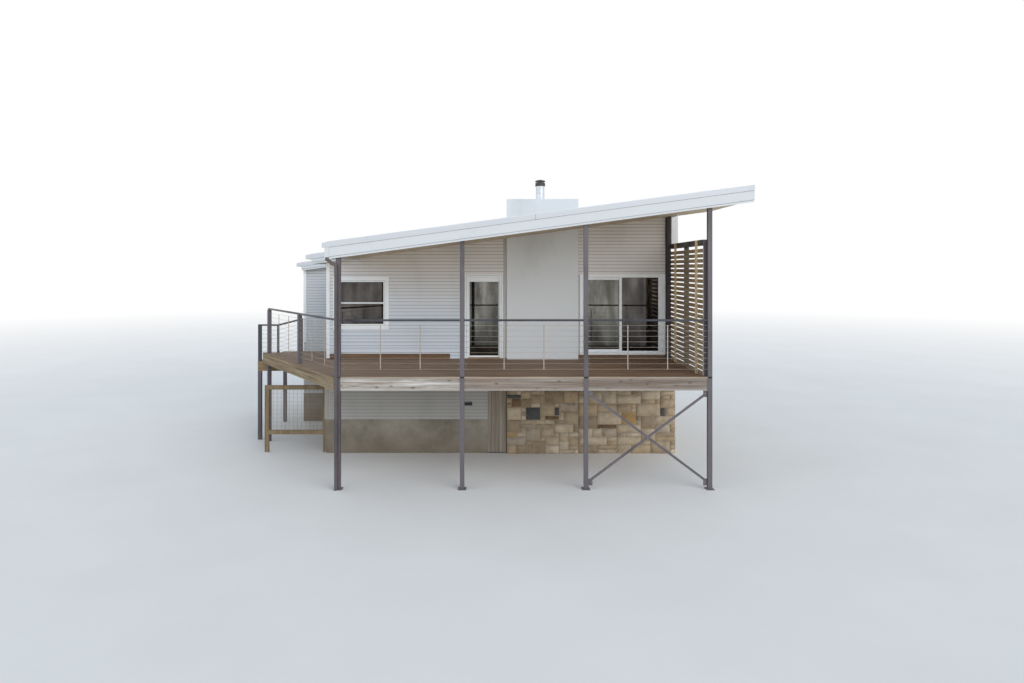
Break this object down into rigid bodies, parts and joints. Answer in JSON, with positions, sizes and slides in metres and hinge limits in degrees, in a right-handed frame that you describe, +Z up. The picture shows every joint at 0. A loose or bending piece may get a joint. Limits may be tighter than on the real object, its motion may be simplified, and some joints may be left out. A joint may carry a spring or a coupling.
{
  "type": "raised beach house with a verandah deck",
  "caption": "Raised weatherboard beach house under one rising roof, with a wire-railed deck on steel posts, a rendered chimney and a stone base.",
  "frame": {"origin": "under the middle of the building's bounding box, on the lowest ground", "axes": "+X along the front to the viewer's right, +Y from the deck to the rear wall, +Z up"},
  "size_m": [11.6416, 10.17, 6.757],
  "materials": {
    "post_steel": "satin",
    "rail_steel": "satin",
    "wire_steel": "satin",
    "beam_timber": "weathered",
    "frame_timber": "sawn",
    "deck_timber": "oiled and worn",
    "screen_timber": "weathered",
    "screen_steel": "satin",
    "stone": "rough",
    "plinth_render": "rough",
    "weatherboard": "painted",
    "white_trim": "painted",
    "floor_timber": "sealed",
    "glass": "clear",
    "render_coat": "smooth",
    "bright_metal": "satin",
    "flue_metal": "satin",
    "dark_metal": "satin",
    "roof_metal": "satin",
    "lining_board": "painted"
  },
  "bodies": {
    "house": {"front_posts": "post_steel", "side_posts": "post_steel", "deck_beams": "beam_timber", "deck_joists": "frame_timber", "deck_boards": "deck_timber", "handrails": "rail_steel", "front_wires": "wire_steel", "side_wires": "wire_steel", "landing": "frame_timber", "landing_rails": "rail_steel", "screen_slats": "screen_timber", "screen_frame": "screen_steel", "screen_battens": "frame_timber", "screen_window": "white_trim", "screen_glass": "glass", "cross_brace": "post_steel", "stone_base": "stone", "base_walls": "weatherboard", "plinth": "plinth_render", "base_panel": "beam_timber", "mesh_panel": "frame_timber", "floor": "floor_timber", "front_wall": "weatherboard", "wall_piers": "weatherboard", "wall_heads": "weatherboard", "right_wall": "weatherboard", "rear_wall": "weatherboard", "left_wall": "weatherboard", "wing_walls": "weatherboard", "corner_trims": "white_trim", "foot_boards": "frame_timber", "window_frames": "white_trim", "window_glass": "glass", "door_frame": "white_trim", "door_hinges": "bright_metal", "slider_frame": "white_trim", "chimney": "render_coat", "flue": "flue_metal", "flue_cap": "dark_metal", "roof_sheeting": "roof_metal", "rafters": "frame_timber", "roof_lining": "lining_board", "fascias": "white_trim", "roof_capping": "roof_metal", "gutters": "white_trim", "downpipes": "post_steel"},
    "front_door": {"door_leaf": "white_trim", "door_glass": "glass", "door_handle": "bright_metal"},
    "sliding_door": {"slider_leaf": "white_trim", "slider_glass": "glass", "slider_handle": "bright_metal"}
  },
  "joints": [
    {"name": "front_door_hinge", "type": "hinge", "parent": "house", "child": "front_door", "pos_m": [-0.18722, -2.077, 2.34], "axis": [0, 0, 1], "range_deg": [0, 95]},
    {"name": "sliding_door_slide", "type": "slide", "parent": "house", "child": "sliding_door", "axis": [1, 0, 0], "range_m": [0, 0.88]}
  ]
}
